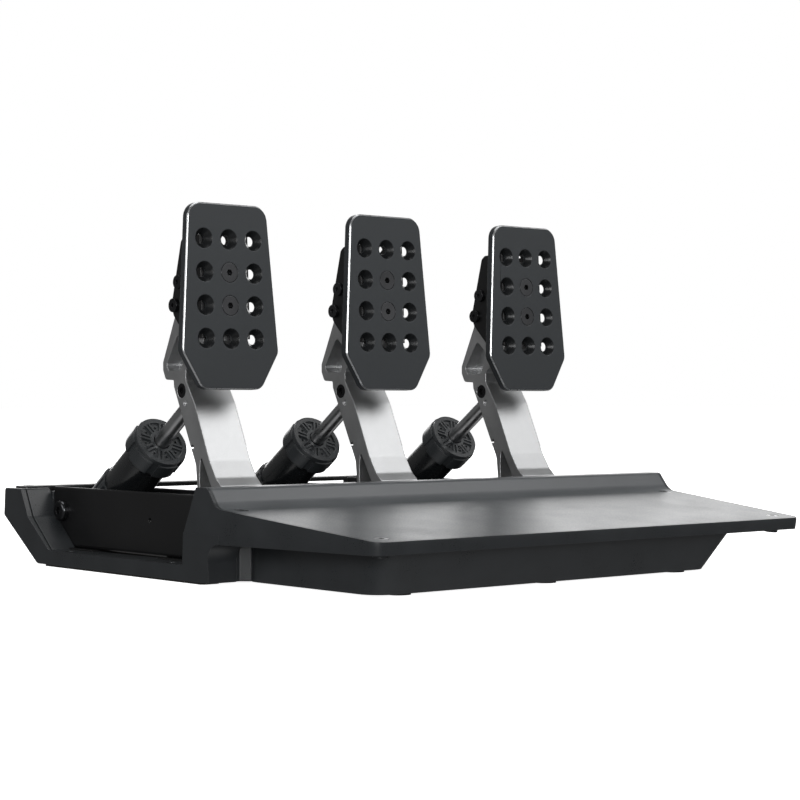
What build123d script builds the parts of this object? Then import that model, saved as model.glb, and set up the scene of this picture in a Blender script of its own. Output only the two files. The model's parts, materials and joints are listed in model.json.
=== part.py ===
from build123d import *
import os
from math import atan, atan2, cos, degrees, hypot, radians, sin, tan

# Sim racing pedal set: three sprung pedals on one moulded heel rest, X to the driver's right,
# Y away from the driver, Z up, origin on the floor in the middle of the overall footprint.

os.makedirs("parts", exist_ok=True)

# Overall layout
overall_depth = 385.0
heel_rest_width = 403.0
heel_rest_front_width = 372.8
frame_width = 347.0
pedal_pitch = 130.0
cut_overrun = 2.0
fit_gap = 0.1

# Heel rest shell
front_lip_height = 33.1
hump_foot_setback = 131.3
hump_foot_height = 46.8
hump_rise_run = 9.6
hump_height = 59.1
hump_top_run = 12.0
hump_foot_blend = 12.0
hump_top_blend = 4.0
flank_run = 13.2
belt_height = 31.0
rim_bottom_height = 25.4
rim_draft = 8.0
rim_corner_radius = 9.0
shell_wall = 3.0
rear_wall_setback = 143.5
notch_ceiling_drop = 6.2
boss_radius = 4.5
boss_depth = 9.0
boss_hole_gap = 0.4
rib_spacing = 58.0
rib_count = 6
rib_thickness = 2.2
rib_depth = 6.0
foot_post_radius = 8.0
foot_post_spacing = 118.0
foot_post_count = 3

# Skirt under the heel rest
skirt_left_inset = 30.3
skirt_right_inset = 71.0
skirt_right_lean = 15.0
skirt_front_setback = 8.6
skirt_front_lean = 10.3
skirt_corner_radius = 14.0

# Heel plate
plate_thickness = 2.0
plate_margin = 2.6
plate_seat_gap = 0.1
plate_screw_inset = 16.0
plate_screw_rear_inset = 12.4
plate_screw_front_setback = 13.0
plate_screw_rear_setback = 124.0
plate_screw_radius = 2.5
plate_screw_head_radius = 4.5
plate_screw_length = 9.0
plate_screw_socket_radius = 1.7
plate_screw_socket_depth = 2.0

# Side frames
frame_thickness = 22.8
frame_lean = 2.4
rail_height = 10.8
buttress_front_setback = 142.6
buttress_arch_radius = 12.0
arch_reach = 17.0
window_front_setback = 170.0
window_front_lean = 3.5
window_front_radius = 2.0
window_rear_radius = 5.0
post_foot_setback = 57.0
post_knee_setback = 32.0
post_top_setback = 22.4
post_knee_height = 32.5
post_top_height = 51.3
slant_foot_setback = 40.5
slant_height = 32.8
slant_radius = 6.0
rear_face_lean = 1.3
post_top_radius = 2.0
post_cap_depth = 6.0
frame_wall = 3.6
window_step = 1.2
window_step_width = 0.9
mount_hole_radius = 3.3
mount_hole_inset = 9.0
mount_front_y = 0.0
mount_rear_y = 120.0

# Floor pads
pad_thickness = 1.2
pad_width = 14.0
pad_end_inset = 8.0
pad_corner_radius = 3.0
pad_hole_clearance = 1.5
foot_pad_radius = 7.0

# Cross members
front_beam_y = 8.0
rear_beam_y = 128.0
beam_width = 44.0
beam_sheet = 2.5
beam_depth = 9.4
beam_seat_depth = 5.0
crossbar_depth = 15.0
crossbar_thickness = 3.2
crossbar_top_height = 52.6
crossbar_rear_setback = 2.6
crossbar_end_inset = 6.0
crossbar_corner_radius = 4.0
crossbar_screw_inset = 7.5
crossbar_screw_radius = 2.0
crossbar_screw_head_radius = 3.6
crossbar_screw_head_height = 2.0
crossbar_screw_length = 9.0

# Pedal channels
channel_floor_height = 11.6
channel_half_width = 20.5
channel_sheet = 2.5
channel_top_height = 52.6
channel_front_gap = 0.3
channel_rear_y = 165.5
channel_edge_radius = 1.2
channel_rear_corner = 5.0
channel_vent_radius = 1.6
channel_vent_y = 45.3
channel_vent_z = 34.3
channel_screw_offset = 11.0
channel_screw_setback = 14.0
channel_screw_radius = 2.5
channel_screw_head_radius = 4.4
channel_screw_head_height = 2.4
channel_screw_length = 8.0

# Pedal hinge
hinge_y = -16.0
hinge_z = 27.0
hinge_axle_radius = 6.0
hub_radius = 12.2
bush_radius = 8.0
bush_flange_radius = 10.0
bush_flange_thickness = 1.9
bush_length = 13.0
running_gap = 0.15

# Pedal arm
arm_half_width = 15.75
rod_pin_y = 16.3
rod_pin_z = 118.1
rod_pin_radius = 2.5
rod_pin_head_radius = 4.6
rod_pin_head_depth = 2.6
rod_slot_half_width = 6.2
rod_slot_radius = 6.1
slot_swing = 12.0
slot_swing_margin = 3.0
slot_reach = 26.0
knee_pocket_depth = 9.5
shin_pocket_depth = 12.0
knee_pocket_radius = 2.5
shin_pocket_radius = 1.2
pin_hole_radius = 1.5
setscrew_radius = 1.9
setscrew_depth = 1.2

# Face plate, measured from the middle of its front face
face_y = -14.7
face_z = 182.0
face_tilt = 2.6
face_thickness = 5.4
face_top_reach = 54.0
face_shoulder_drop = 39.6
face_bottom_drop = 63.3
face_top_half_width = 30.2
face_shoulder_half_width = 37.2
face_bottom_half_width = 22.8
face_top_radius = 10.0
face_shoulder_radius = 7.0
face_bottom_radius = 8.0
face_edge_chamfer = 0.8
hole_columns = 3
hole_rows = 4
hole_column_pitch = 19.0
hole_row_pitch = 20.9
face_hole_radius = 3.1
face_countersink_radius = 6.5
face_screw_radius = 2.9
face_screw_length = 16.0
face_screw_sink_angle = 82.0
face_screw_socket_radius = 2.1
face_screw_socket_depth = 2.6

# Face bracket
bracket_sheet = 2.6
bracket_depth = 33.3
bracket_fillet = 3.0
bracket_screw_radius = 2.5
bracket_screw_head_radius = 4.4
bracket_screw_head_height = 2.6
bracket_screw_length = 9.0
bracket_screw_socket_radius = 1.6
bracket_screw_socket_depth = 1.5

# Damper cartridge, along its own axis from the foot pivot
foot_y = 138.0
foot_z = 30.0
rod_radius = 5.25
rod_eye_gap = 0.45
rod_end_flat_half_width = 4.6
cap_face_distance = 93.5
cap_length = 14.5
cap_ring_radius = 18.4
cap_ring_length = 3.2
cap_lobe_radius = 19.4
cap_lobe_count = 6
cap_groove_width = 4.4
cap_groove_depth = 1.5
cap_pocket_count = 8
cap_pocket_depth = 1.4
cap_pocket_inner_radius = 8.2
cap_pocket_outer_radius = 15.0
cap_spoke_width = 4.4
cap_slot_width = 1.3
cap_dot_radius = 0.9
cap_dot_depth = 1.4
cap_face_thickness = 4.2
tube_radius = 15.5
tube_wall = 2.6
tube_rear_distance = 15.2
tube_end_wall = 4.0
knob_radius = 17.4
knob_front_distance = 40.4
knob_rear_distance = 15.6
knob_flute_count = 16
knob_flute_radius = 1.3
lug_radius = 8.0
lug_half_width = 6.5
piston_length = 7.0
piston_front_gap = 1.2
piston_radius = 12.4
piston_stem_radius = 3.5
stack_pads = 4
stack_waist = 1.8
stack_radius = 11.4
stack_bore = 4.0
stack_end_gap = 0.3

# Damper foot bracket
bracket_block_gap = 0.4
foot_block_front_run = 10.0
foot_block_rear_run = 24.0
foot_block_height = 31.0
foot_block_nose_radius = 10.5
foot_slot_gap = 0.6
foot_slot_radius = 13.0
foot_axle_radius = 4.0
channel_bolt_y = 152.3
channel_bolt_z = 36.3
channel_bolt_radius = 4.0
channel_bolt_head_radius = 7.0
channel_bolt_head_height = 4.2
channel_bolt_socket_radius = 2.9
channel_bolt_socket_depth = 2.6
channel_bolt_length = 12.0

# Electronics box between the right-hand channels
box_width = 66.0
box_depth = 44.0
box_height = 26.0
box_wall = 2.2
box_corner_radius = 3.0
box_lid_thickness = 2.4
board_thickness = 1.6
board_gap = 1.0
standoff_radius = 3.0
standoff_height = 4.0
standoff_rows = 2
socket_width = 12.0
socket_depth = 14.0
socket_height = 11.0
socket_pitch = 18.0
socket_count = 3
socket_mouth_wall = 1.2

# Outline of the arm below its head, as shares of the height from hinge to rod pin
arm_rear_shares = [
    (0.134, 0.0),
    (0.162, 0.337),
    (0.178, 0.487),
    (0.237, 0.604),
    (0.446, 1.027),
    (0.451, 1.074),
    (0.550, 1.079),
    (0.583, 1.147),
    (0.583, 1.202),
]
arm_front_shares = [
    (0.302, 1.153),
    (0.302, 1.076),
    (0.195, 0.913),
    (0.016, 0.519),
    (-0.060, 0.400),
    (-0.121, 0.346),
    (-0.148, 0.252),
    (-0.134, 0.0),
]
arm_rear_blends = [0, 8.0, 12.0, 0, 2.0, 0.8, 3.0, 3.0, 3.0]
arm_front_blends = [3.0, 3.0, 14.0, 14.0, 8.0, 3.0, 2.0, 0]
knee_pocket_shares = [(0.349, 1.142), (0.514, 1.142), (0.540, 1.188), (0.402, 1.401), (0.313, 1.317)]
shin_pocket_shares = [(0.125, 0.563), (0.136, 0.428), (0.134, 0.187), (-0.038, 0.187), (-0.002, 0.344)]
pin_hole_share = (0.222, 0.609)
setscrew_share = (0.306, 0.915)

# Arm head and bracket behind the face plate, depth and height as shares of the bracket's depth
head_rear_shares = [(1.02, -0.468), (0.985, -0.25), (0.645, 0.735)]
head_front_shares = [(0.0, 0.735), (0.0, -1.0)]
head_blends = [0, 2.0, 3.0, 2.0, 4.0]
bracket_shares = [
    (0.0, 1.036),
    (0.526, 1.036),
    (0.625, 0.967),
    (1.0, -0.246),
    (0.928, -0.438),
    (0.559, -0.853),
    (0.0, -0.931),
]
bracket_screw_shares = [(0.685, 0.189), (0.855, -0.243)]

# Places worked out from the sizes above
front_y = -overall_depth / 2
rear_y = overall_depth / 2
left_x = -heel_rest_width / 2
right_x = heel_rest_width / 2
frame_right_x = left_x + frame_width
frame_mid_x = left_x + frame_width / 2
left_inner_x = left_x + frame_thickness
right_inner_x = frame_right_x - frame_thickness
hump_foot_y = front_y + hump_foot_setback
hump_front_y = hump_foot_y + hump_rise_run
hump_rear_y = hump_front_y + hump_top_run
flank_rear_y = hump_rear_y + flank_run
rear_wall_y = front_y + rear_wall_setback
channel_front_y = rear_wall_y + shell_wall + channel_front_gap
channel_inner_half = channel_half_width - channel_sheet
arm_unit = rod_pin_z - hinge_z
deck_angle = degrees(atan((hump_foot_height - front_lip_height) / hump_foot_setback))
notch_ceiling = hump_height - notch_ceiling_drop
pedals = {
    "clutch": frame_mid_x - pedal_pitch,
    "brake": frame_mid_x,
    "throttle": frame_mid_x + pedal_pitch,
}
damper_length = hypot(foot_y - rod_pin_y, rod_pin_z - foot_z)
damper_angle = degrees(atan2(rod_pin_z - foot_z, foot_y - rod_pin_y))


def save(piece, label):
    """Names a finished piece and writes its file."""
    piece.part.label = label
    export_step(piece.part, f"parts/{label}.step")


def side(x):
    """Plane square to X, with local x along Y and local y up."""
    return Plane(origin=(x, 0, 0), x_dir=(0, 1, 0), z_dir=(1, 0, 0))


def parallel(points, distance):
    """Corners of an open outline moved to its right by a distance, with mitred corners."""
    moved = []
    for index, (px, py) in enumerate(points):
        before = points[max(index - 1, 0)]
        after = points[min(index + 1, len(points) - 1)]
        normals = []
        for a, b in ((before, (px, py)), ((px, py), after)):
            length = hypot(b[0] - a[0], b[1] - a[1])
            if length > 0:
                normals.append(((b[1] - a[1]) / length, -(b[0] - a[0]) / length))
        nx = sum(n[0] for n in normals) / len(normals)
        ny = sum(n[1] for n in normals) / len(normals)
        scale = distance / (nx * nx + ny * ny)
        moved.append((px + nx * scale, py + ny * scale))
    return moved


def deck_line(depth):
    """Heel rest's top line, from the front lip over the hump, lowered square to itself."""
    corners = [
        (front_y, front_lip_height),
        (hump_foot_y, hump_foot_height),
        (hump_front_y, hump_height),
        (hump_rear_y, hump_height),
    ]
    return parallel(corners, depth)


def deck_radii(depth):
    """Blend radii of the deck line's two inner corners at a depth below it."""
    return [hump_foot_blend + depth, max(hump_top_blend - depth, fit_gap)]


def rest_plan(inset):
    """Plan corners and radii of the heel rest, tapering to the front, drawn inside by an inset."""
    rear = hump_rear_y + flank_run + cut_overrun
    taper = (heel_rest_width - heel_rest_front_width) / 2
    side_angle = atan(taper / hump_foot_setback)
    reach = inset / cos(side_angle)
    front_half = heel_rest_front_width / 2 - reach + inset * tan(side_angle)
    wide_half = heel_rest_width / 2 - reach
    radius = max(rim_corner_radius - inset, fit_gap)
    corners = [
        (-wide_half, rear),
        (-wide_half, hump_foot_y),
        (-front_half, front_y + inset),
        (front_half, front_y + inset),
        (wide_half, hump_foot_y),
        (wide_half, rear),
    ]
    return corners, [0, 0, radius, radius, 0, 0]


def skirt_outline(inset, foot):
    """Rounded rectangle of the skirt at the floor or where it meets the rim, less a wall."""
    left = left_x + skirt_left_inset + inset
    right = right_x - skirt_right_inset - inset - (skirt_right_lean if foot else 0)
    front = front_y + skirt_front_setback + inset + (skirt_front_lean if foot else 0)
    rear = rear_wall_y + shell_wall - inset
    with Locations(((left + right) / 2, (front + rear) / 2)):
        RectangleRounded(right - left, rear - front, skirt_corner_radius - inset)


# Heel plate screws sit square to the sloping deck
def deck_height(y):
    return front_lip_height + (y - front_y) * tan(radians(deck_angle))


def rest_half_width(y):
    taper = (heel_rest_width - heel_rest_front_width) / 2
    return heel_rest_front_width / 2 + taper * (y - front_y) / hump_foot_setback


plate_screw_planes = []
for setback, inset in (
    (plate_screw_front_setback, plate_screw_inset),
    (plate_screw_rear_setback, plate_screw_rear_inset),
):
    seat_y = front_y + setback
    for hand in (-1, 1):
        plate_screw_planes.append(
            Plane(
                origin=(hand * (rest_half_width(seat_y) - inset), seat_y, deck_height(seat_y)),
                x_dir=(1, 0, 0),
                z_dir=(0, -sin(radians(deck_angle)), cos(radians(deck_angle))),
            )
        )

climb = tan(radians(deck_angle))
rib_places = [(index - (rib_count - 1) / 2) * rib_spacing for index in range(rib_count)]
skirt_foot_left = left_x + skirt_left_inset
skirt_foot_right = right_x - skirt_right_inset - skirt_right_lean
foot_post_y = front_y + skirt_front_setback + skirt_front_lean + shell_wall / 2 + foot_post_radius
foot_post_places = [
    (
        (skirt_foot_left + skirt_foot_right) / 2
        + (index - (foot_post_count - 1) / 2) * foot_post_spacing,
        foot_post_y,
    )
    for index in range(foot_post_count)
]

# Space under the deck, inside the rim
with BuildPart() as deck_space:
    with BuildSketch(Plane.XY.offset(rim_bottom_height + shell_wall)):
        corners, radii = rest_plan(shell_wall + plate_margin)
        with BuildLine():
            FilletPolyline(*corners, radius=radii, close=True)
        make_face()
    extrude(amount=hump_height)
    with BuildSketch(side(0)):
        ceiling_depth = plate_thickness + plate_seat_gap + shell_wall
        ceiling = deck_line(ceiling_depth)
        space_front_y = front_y + skirt_front_setback + shell_wall
        space_floor = rim_bottom_height + shell_wall
        with BuildLine():
            FilletPolyline(
                (space_front_y, space_floor),
                (space_front_y, ceiling[0][1] + (space_front_y - ceiling[0][0]) * climb),
                ceiling[1],
                (rear_wall_y, ceiling[1][1] + rear_wall_y - ceiling[1][0]),
                (rear_wall_y, space_floor),
                radius=[0, 0, hump_foot_blend, 0, 0],
                close=True,
            )
        make_face()
    extrude(amount=heel_rest_width, both=True, mode=Mode.INTERSECT)

# Space inside the skirt
with BuildPart() as skirt_space:
    with BuildSketch(Plane.XY.offset(pad_thickness - fit_gap)):
        skirt_outline(shell_wall, True)
    with BuildSketch(Plane.XY.offset(rim_bottom_height + shell_wall + fit_gap)):
        skirt_outline(shell_wall, False)
    loft(ruled=True)

# Recess that takes the heel plate
with BuildPart() as plate_seat:
    with BuildSketch(Plane.XY):
        corners, radii = rest_plan(plate_margin - plate_seat_gap)
        with BuildLine():
            FilletPolyline(*corners, radius=radii, close=True)
        make_face()
    extrude(amount=hump_height + cut_overrun)
    with BuildSketch(side(0)):
        top = deck_line(0)
        bottom = deck_line(plate_thickness + plate_seat_gap)
        with BuildLine():
            FilletPolyline(*bottom, radius=deck_radii(plate_thickness + plate_seat_gap))
            Polyline(
                bottom[3],
                (top[3][0], hump_height + cut_overrun),
                (top[0][0], hump_height + cut_overrun),
                bottom[0],
            )
        make_face()
    extrude(amount=heel_rest_width, both=True, mode=Mode.INTERSECT)

# Heel rest shell
with BuildPart() as heel_rest_shell:
    with BuildSketch(Plane.XY.offset(belt_height)) as belt:
        corners, radii = rest_plan(0)
        with BuildLine():
            FilletPolyline(*corners, radius=radii, close=True)
        make_face()
    extrude(amount=hump_height)
    extrude(belt.sketch, amount=rim_bottom_height - belt_height, taper=rim_draft)
    with BuildSketch(side(0)):
        top = deck_line(0)
        with BuildLine():
            FilletPolyline(*top, radius=deck_radii(0))
            Polyline(
                top[3],
                (flank_rear_y, belt_height),
                (flank_rear_y, rim_bottom_height),
                (front_y, rim_bottom_height),
                top[0],
            )
        make_face()
    extrude(amount=heel_rest_width, both=True, mode=Mode.INTERSECT)
    with BuildSketch(Plane.XY.offset(pad_thickness)):
        skirt_outline(0, True)
    with BuildSketch(Plane.XY.offset(rim_bottom_height)):
        skirt_outline(0, False)
    loft(ruled=True)
    add(deck_space.part, mode=Mode.SUBTRACT)
    add(skirt_space.part, mode=Mode.SUBTRACT)
    add(plate_seat.part, mode=Mode.SUBTRACT)
    # The channels pass under the hump between the side frames
    with BuildSketch(side(left_inner_x - fit_gap)):
        with BuildLine():
            Polyline(
                (rear_wall_y + shell_wall, 0),
                (rear_wall_y + shell_wall, notch_ceiling),
                (flank_rear_y + cut_overrun, notch_ceiling),
                (flank_rear_y + cut_overrun, 0),
                close=True,
            )
        make_face()
    extrude(amount=right_inner_x - left_inner_x + fit_gap * 2, mode=Mode.SUBTRACT)
    # The side frames close the rim under the belt line behind the arch
    with BuildSketch(side(left_x - cut_overrun)):
        with Locations((rear_wall_y + shell_wall - arch_reach, 0)):
            Rectangle(arch_reach + flank_run * 4, belt_height, align=(Align.MIN, Align.MIN))
    extrude(amount=frame_thickness + cut_overrun + fit_gap, mode=Mode.SUBTRACT)
    with BuildSketch(side(right_inner_x - fit_gap)):
        with Locations((rear_wall_y + shell_wall, 0)):
            Rectangle(flank_run * 4, belt_height, align=(Align.MIN, Align.MIN))
    extrude(amount=frame_thickness + fit_gap * 2, mode=Mode.SUBTRACT)
    # Hollows inside the two flanks
    with BuildSketch(side(left_x + shell_wall), side(frame_right_x + shell_wall)):
        with BuildLine():
            Polyline(
                (rear_wall_y + shell_wall * 2, 0),
                (rear_wall_y + shell_wall * 2, notch_ceiling),
                (hump_rear_y - shell_wall, notch_ceiling),
                (flank_rear_y - shell_wall, belt_height),
                (flank_rear_y - shell_wall, 0),
                close=True,
            )
        make_face()
    extrude(amount=frame_thickness - shell_wall * 2, mode=Mode.SUBTRACT)
    # Ribs under the deck
    with BuildSketch(*[side(x - rib_thickness / 2) for x in rib_places]):
        upper = deck_line(plate_thickness + plate_seat_gap + shell_wall / 2)
        lower = deck_line(plate_thickness + plate_seat_gap + shell_wall + rib_depth)
        space_front_y = front_y + skirt_front_setback + skirt_front_lean
        with BuildLine():
            Polyline(
                (space_front_y, upper[0][1] + (space_front_y - upper[0][0]) * climb),
                upper[1],
                lower[1],
                (space_front_y, lower[0][1] + (space_front_y - lower[0][0]) * climb),
                close=True,
            )
        make_face()
    extrude(amount=rib_thickness)
    # Posts that carry the front pads
    with BuildSketch(Plane.XY.offset(pad_thickness)):
        with Locations(*foot_post_places):
            Circle(foot_post_radius)
    extrude(amount=deck_height(foot_post_y) - plate_thickness - shell_wall - pad_thickness)
    # Screw bosses under the four corners of the plate
    with BuildSketch(*[p.offset(-plate_thickness - plate_seat_gap) for p in plate_screw_planes]):
        Circle(boss_radius)
    extrude(amount=-boss_depth)
    with BuildSketch(*[p.offset(-plate_thickness - plate_seat_gap) for p in plate_screw_planes]):
        Circle(plate_screw_radius + boss_hole_gap)
    extrude(amount=-boss_depth - cut_overrun, mode=Mode.SUBTRACT)
save(heel_rest_shell, "heel_rest_shell")

# Heel plate, one sheet folded over the hump
with BuildPart() as heel_plate:
    with BuildSketch(Plane.XY):
        corners, radii = rest_plan(plate_margin)
        with BuildLine():
            FilletPolyline(*corners, radius=radii, close=True)
        make_face()
    extrude(amount=hump_height + cut_overrun)
    with BuildSketch(side(0)):
        top = deck_line(0)
        bottom = deck_line(plate_thickness)
        with BuildLine():
            FilletPolyline(*top, radius=deck_radii(0))
            FilletPolyline(*bottom, radius=deck_radii(plate_thickness))
            Line(top[0], bottom[0])
            Line(top[3], bottom[3])
        make_face()
    extrude(amount=heel_rest_width, both=True, mode=Mode.INTERSECT)
    with Locations(*plate_screw_planes):
        CounterSinkHole(
            plate_screw_radius + fit_gap,
            plate_screw_head_radius + fit_gap,
            depth=plate_screw_length,
        )
save(heel_plate, "heel_plate")


def cap_screws(planes, radius, length, head_radius, head_height, socket_radius, socket_depth):
    """Button head screws that point down from the planes they are seated on."""
    with BuildPart() as screws:
        with BuildSketch(*planes):
            Circle(head_radius)
        extrude(amount=head_height)
        circles = screws.edges().filter_by(GeomType.CIRCLE)
        outside = [plane.offset(head_height * 2).origin for plane in planes]
        fillet([circles.sort_by_distance(place)[0] for place in outside], head_height / 2)
        with BuildSketch(*planes):
            Circle(radius)
        extrude(amount=-length)
        with BuildSketch(*[plane.offset(head_height - socket_depth) for plane in planes]):
            RegularPolygon(socket_radius, 6)
        extrude(amount=socket_depth + cut_overrun, mode=Mode.SUBTRACT)
    return screws


def sunk_screws(planes, radius, length, head_radius, socket_radius, socket_depth):
    """Countersunk screws whose heads lie flush with the planes."""
    head_height = head_radius - radius
    with BuildPart() as screws:
        with Locations(*planes):
            Cone(radius, head_radius, head_height, align=(Align.CENTER, Align.CENTER, Align.MAX))
        with BuildSketch(*[plane.offset(-head_height) for plane in planes]):
            Circle(radius)
        extrude(amount=head_height - length)
        with BuildSketch(*[plane.offset(-socket_depth) for plane in planes]):
            RegularPolygon(socket_radius, 6)
        extrude(amount=socket_depth + cut_overrun, mode=Mode.SUBTRACT)
    return screws


heel_plate_screws = sunk_screws(
    [plane.offset(-fit_gap) for plane in plate_screw_planes],
    plate_screw_radius,
    plate_screw_length,
    plate_screw_head_radius,
    plate_screw_socket_radius,
    plate_screw_socket_depth,
)
save(heel_plate_screws, "heel_plate_screws")

# Heights and places shared by the side frames and what they carry
beam_top = channel_floor_height
beam_bottom = beam_top - beam_depth
window_front_y = front_y + window_front_setback
crossbar_rear_y = rear_y - crossbar_rear_setback
crossbar_front_y = crossbar_rear_y - crossbar_depth
crossbar_bottom = crossbar_top_height - crossbar_thickness


def side_frame(outer_x, hand, arch):
    """One side frame: low rail, rear post and front buttress. Hand is 1 where inside is +X."""
    outer = Plane(origin=(outer_x, 0, 0), x_dir=(0, 1, 0), z_dir=(1, 0, 0))
    arch_front_y = rear_wall_y + shell_wall - arch_reach
    buttress_y = front_y + buttress_front_setback if arch else rear_wall_y + shell_wall
    front_corners = [(buttress_y, belt_height), (buttress_y, pad_thickness)]
    front_radii = [0, 0]
    if arch:
        front_corners = [
            (arch_front_y, belt_height),
            (arch_front_y, rim_bottom_height),
            (buttress_y, rim_bottom_height),
            (buttress_y, pad_thickness),
        ]
        front_radii = [0, 0, buttress_arch_radius, 0]
    window = [
        (rear_y - post_top_setback, post_top_height),
        (rear_y - post_knee_setback, post_knee_height),
        (rear_y - post_foot_setback, rail_height),
        (window_front_y, rail_height),
        (window_front_y - window_front_lean, belt_height),
    ]
    with BuildPart() as frame:
        with BuildSketch(outer):
            with BuildLine():
                FilletPolyline(
                    *front_corners,
                    (rear_y - slant_foot_setback, pad_thickness),
                    (rear_y, slant_height),
                    (rear_y - rear_face_lean, post_top_height),
                    *window,
                    radius=[
                        *front_radii,
                        slant_radius,
                        0,
                        post_top_radius,
                        post_top_radius,
                        window_rear_radius,
                        window_rear_radius,
                        window_front_radius,
                        0,
                    ],
                    close=True,
                )
            make_face()
        extrude(amount=hand * frame_thickness)
        # Hollow of the rear post, open to the inside
        with BuildSketch(outer.offset(hand * frame_wall)):
            with BuildLine():
                Polyline(
                    (rear_y - slant_foot_setback, pad_thickness),
                    (rear_y, slant_height),
                    (rear_y - rear_face_lean, post_top_height - post_cap_depth),
                    (rear_y - post_top_setback - post_cap_depth / 2, post_top_height - post_cap_depth),
                    (rear_y - post_knee_setback, post_knee_height),
                    (rear_y - post_foot_setback, rail_height),
                    close=True,
                )
            make_face()
            offset(amount=-frame_wall)
        extrude(amount=hand * frame_thickness, mode=Mode.SUBTRACT)
        # Shadow step behind the outer skin, along the window
        with BuildSketch(outer.offset(hand * frame_wall)):
            with BuildLine():
                Polyline(*window, close=True)
            make_face()
            offset(amount=window_step, kind=Kind.INTERSECTION)
        extrude(amount=hand * window_step_width, mode=Mode.SUBTRACT)
        # The face leans inward below the belt line
        with BuildSketch(Plane.XZ.offset(-rear_y - cut_overrun)):
            with BuildLine():
                Polyline(
                    (outer_x, belt_height),
                    (outer_x + hand * frame_lean, pad_thickness),
                    (outer_x + hand * frame_lean, 0),
                    (outer_x - hand * cut_overrun, 0),
                    (outer_x - hand * cut_overrun, belt_height),
                    close=True,
                )
            make_face()
        extrude(amount=overall_depth, mode=Mode.SUBTRACT)
        # Seats for the two beams
        inner_x = outer_x + hand * frame_thickness
        with BuildSketch(Plane.XY):
            for beam_y in (front_beam_y, rear_beam_y):
                with Locations((inner_x, beam_y)):
                    Rectangle((beam_seat_depth + fit_gap) * 2, beam_width + fit_gap * 2)
        extrude(amount=channel_floor_height + fit_gap, mode=Mode.SUBTRACT)
        # Seat for the crossbar
        with BuildSketch(Plane.XY.offset(crossbar_bottom)):
            with Locations((inner_x, (crossbar_front_y + crossbar_rear_y) / 2)):
                Rectangle(
                    (frame_thickness - crossbar_end_inset + fit_gap) * 2,
                    crossbar_depth + fit_gap * 2,
                )
        extrude(amount=crossbar_thickness, mode=Mode.SUBTRACT)
        crossbar_screw_x = outer_x + hand * (crossbar_end_inset + crossbar_screw_inset)
        with BuildSketch(Plane.XY.offset(crossbar_bottom)):
            with Locations((crossbar_screw_x, (crossbar_front_y + crossbar_rear_y) / 2)):
                Circle(crossbar_screw_radius + fit_gap)
        extrude(amount=-crossbar_screw_length, mode=Mode.SUBTRACT)
        # Mounting holes through the rail
        with BuildSketch(Plane.XY):
            for mount_y in (mount_front_y, mount_rear_y):
                with Locations((outer_x + hand * mount_hole_inset, mount_y)):
                    Circle(mount_hole_radius)
        extrude(amount=rail_height + cut_overrun, mode=Mode.SUBTRACT)
    return frame


save(side_frame(left_x, 1, True), "left_side_frame")
save(side_frame(frame_right_x, -1, False), "right_side_frame")

# Rubber pads under the rails and the heel rest
pad_front_y = front_y + buttress_front_setback + pad_end_inset
pad_rear_y = rear_y - slant_foot_setback - pad_end_inset
pad_centre_inset = (frame_thickness - beam_seat_depth + frame_lean) / 2
pad_places = [left_x + pad_centre_inset, frame_right_x - pad_centre_inset]
with BuildPart() as floor_pads:
    with BuildSketch(Plane.XY):
        with Locations(*[(x, (pad_front_y + pad_rear_y) / 2) for x in pad_places]):
            RectangleRounded(pad_width, pad_rear_y - pad_front_y, pad_corner_radius)
        for mount_y in (mount_front_y, mount_rear_y):
            with Locations(
                (left_x + mount_hole_inset, mount_y),
                (frame_right_x - mount_hole_inset, mount_y),
            ):
                Circle(mount_hole_radius + pad_hole_clearance, mode=Mode.SUBTRACT)
        with Locations(*foot_post_places):
            Circle(foot_pad_radius)
    extrude(amount=pad_thickness)
save(floor_pads, "floor_pads")


# Folded beams across the frame, under the channels
def cross_beam(beam_y):
    span_left = left_inner_x - beam_seat_depth
    span = right_inner_x + beam_seat_depth - span_left
    with BuildPart() as beam:
        with BuildSketch(side(span_left)):
            with Locations((beam_y, beam_bottom)):
                Rectangle(beam_width, beam_depth, align=(Align.CENTER, Align.MIN))
                Rectangle(
                    beam_width - beam_sheet * 2,
                    beam_depth - beam_sheet,
                    align=(Align.CENTER, Align.MIN),
                    mode=Mode.SUBTRACT,
                )
        extrude(amount=span)
        outer_edges = beam.edges().filter_by(Axis.X).group_by(Axis.Z)[-1]
        fillet(outer_edges, beam_sheet)
        with BuildSketch(Plane.XY.offset(beam_top)):
            with Locations(*[(x, y) for x, y in channel_screw_places if abs(y - beam_y) < beam_width / 2]):
                Circle(channel_screw_radius + fit_gap)
        extrude(amount=-beam_depth, mode=Mode.SUBTRACT)
    return beam


channel_screw_places = [
    (x + hand * channel_screw_offset, y)
    for x in pedals.values()
    for y in (front_beam_y, rear_beam_y - channel_screw_setback)
    for hand in (-1, 1)
]
save(cross_beam(front_beam_y), "front_crossbeam")
save(cross_beam(rear_beam_y), "rear_crossbeam")

# Flat bar that ties the two rear posts
crossbar_y = (crossbar_front_y + crossbar_rear_y) / 2
crossbar_screw_places = [
    (left_x + crossbar_end_inset + crossbar_screw_inset, crossbar_y),
    (frame_right_x - crossbar_end_inset - crossbar_screw_inset, crossbar_y),
]
with BuildPart() as rear_crossbar:
    with BuildSketch(Plane.XY.offset(crossbar_bottom)):
        with Locations((frame_mid_x, crossbar_y)):
            RectangleRounded(frame_width - crossbar_end_inset * 2, crossbar_depth, crossbar_corner_radius)
        with Locations(*crossbar_screw_places):
            Circle(crossbar_screw_radius + fit_gap, mode=Mode.SUBTRACT)
    extrude(amount=crossbar_thickness)
save(rear_crossbar, "rear_crossbar")

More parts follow.
